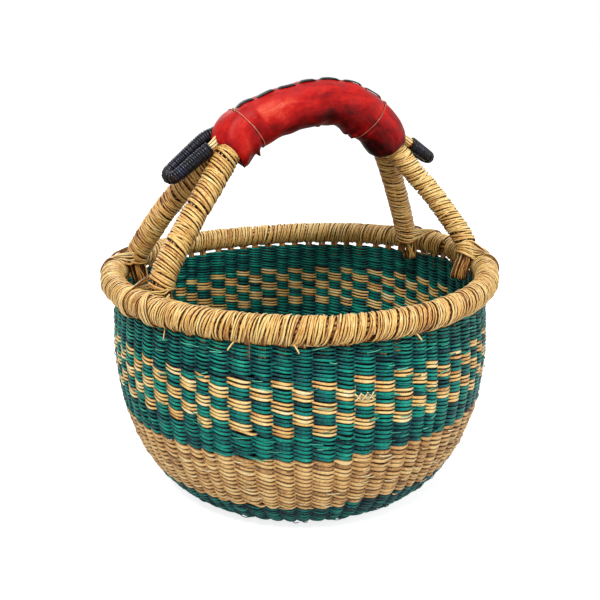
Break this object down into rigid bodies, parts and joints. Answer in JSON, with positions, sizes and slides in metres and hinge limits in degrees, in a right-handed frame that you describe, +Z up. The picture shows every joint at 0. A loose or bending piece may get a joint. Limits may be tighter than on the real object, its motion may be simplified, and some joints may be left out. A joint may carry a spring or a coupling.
{
  "type": "bolga basket",
  "caption": "Round twined straw basket with a wrapped rim, a banded and checkered wall and a leather-covered grip on splayed wrapped legs.",
  "frame": {"origin": "middle of the flat resting face under the base", "axes": "+Z up through the bowl, +X along the grip towards its steeper end, +Y to the left of +X seen from above"},
  "size_m": [0.3829, 0.3824, 0.3913],
  "materials": {
    "straw_natural": "dry straw with a slight sheen, split strands with fine grain",
    "straw_band": "drier and browner natural straw of the lower band",
    "straw_teal": "dyed straw, uneven teal to blue green, slight sheen",
    "straw_checker": "blocks of natural and teal straw",
    "leather_red": "glossy dyed goat leather, streaked and creased",
    "lace_black": "black leather thong",
    "straw_black": "glossy blue black dyed straw wrapping",
    "thread": "thin reddish straw thread",
    "padding": "straw and rag filling, hidden"
  },
  "bodies": {
    "root": {"base_start": "straw_teal", "base_weave": "straw_teal", "natural_band": "straw_band", "lower_teal_band": "straw_teal", "checker_band": "straw_checker", "upper_teal_band": "straw_teal", "rim_stakes": "straw_natural", "rim_wrap": "straw_natural", "hoop_core_front": "straw_natural", "hoop_core_rear": "straw_natural", "leg_wrap_left_front": "straw_natural", "leg_wrap_right_front": "straw_natural", "leg_wrap_left_rear": "straw_natural", "leg_wrap_right_rear": "straw_natural", "foot_lashing_left_front": "straw_natural", "foot_lashing_right_front": "straw_natural", "foot_lashing_left_rear": "straw_natural", "foot_lashing_right_rear": "straw_natural", "grip_padding": "padding", "grip_leather": "leather_red", "grip_lacing": "lace_black", "tie_thread_left": "thread", "tie_thread_right": "thread", "ear_core_left": "straw_natural", "ear_core_right": "straw_natural", "ear_wrap_left": "straw_black", "ear_wrap_right": "straw_black"}
  },
  "joints": []
}
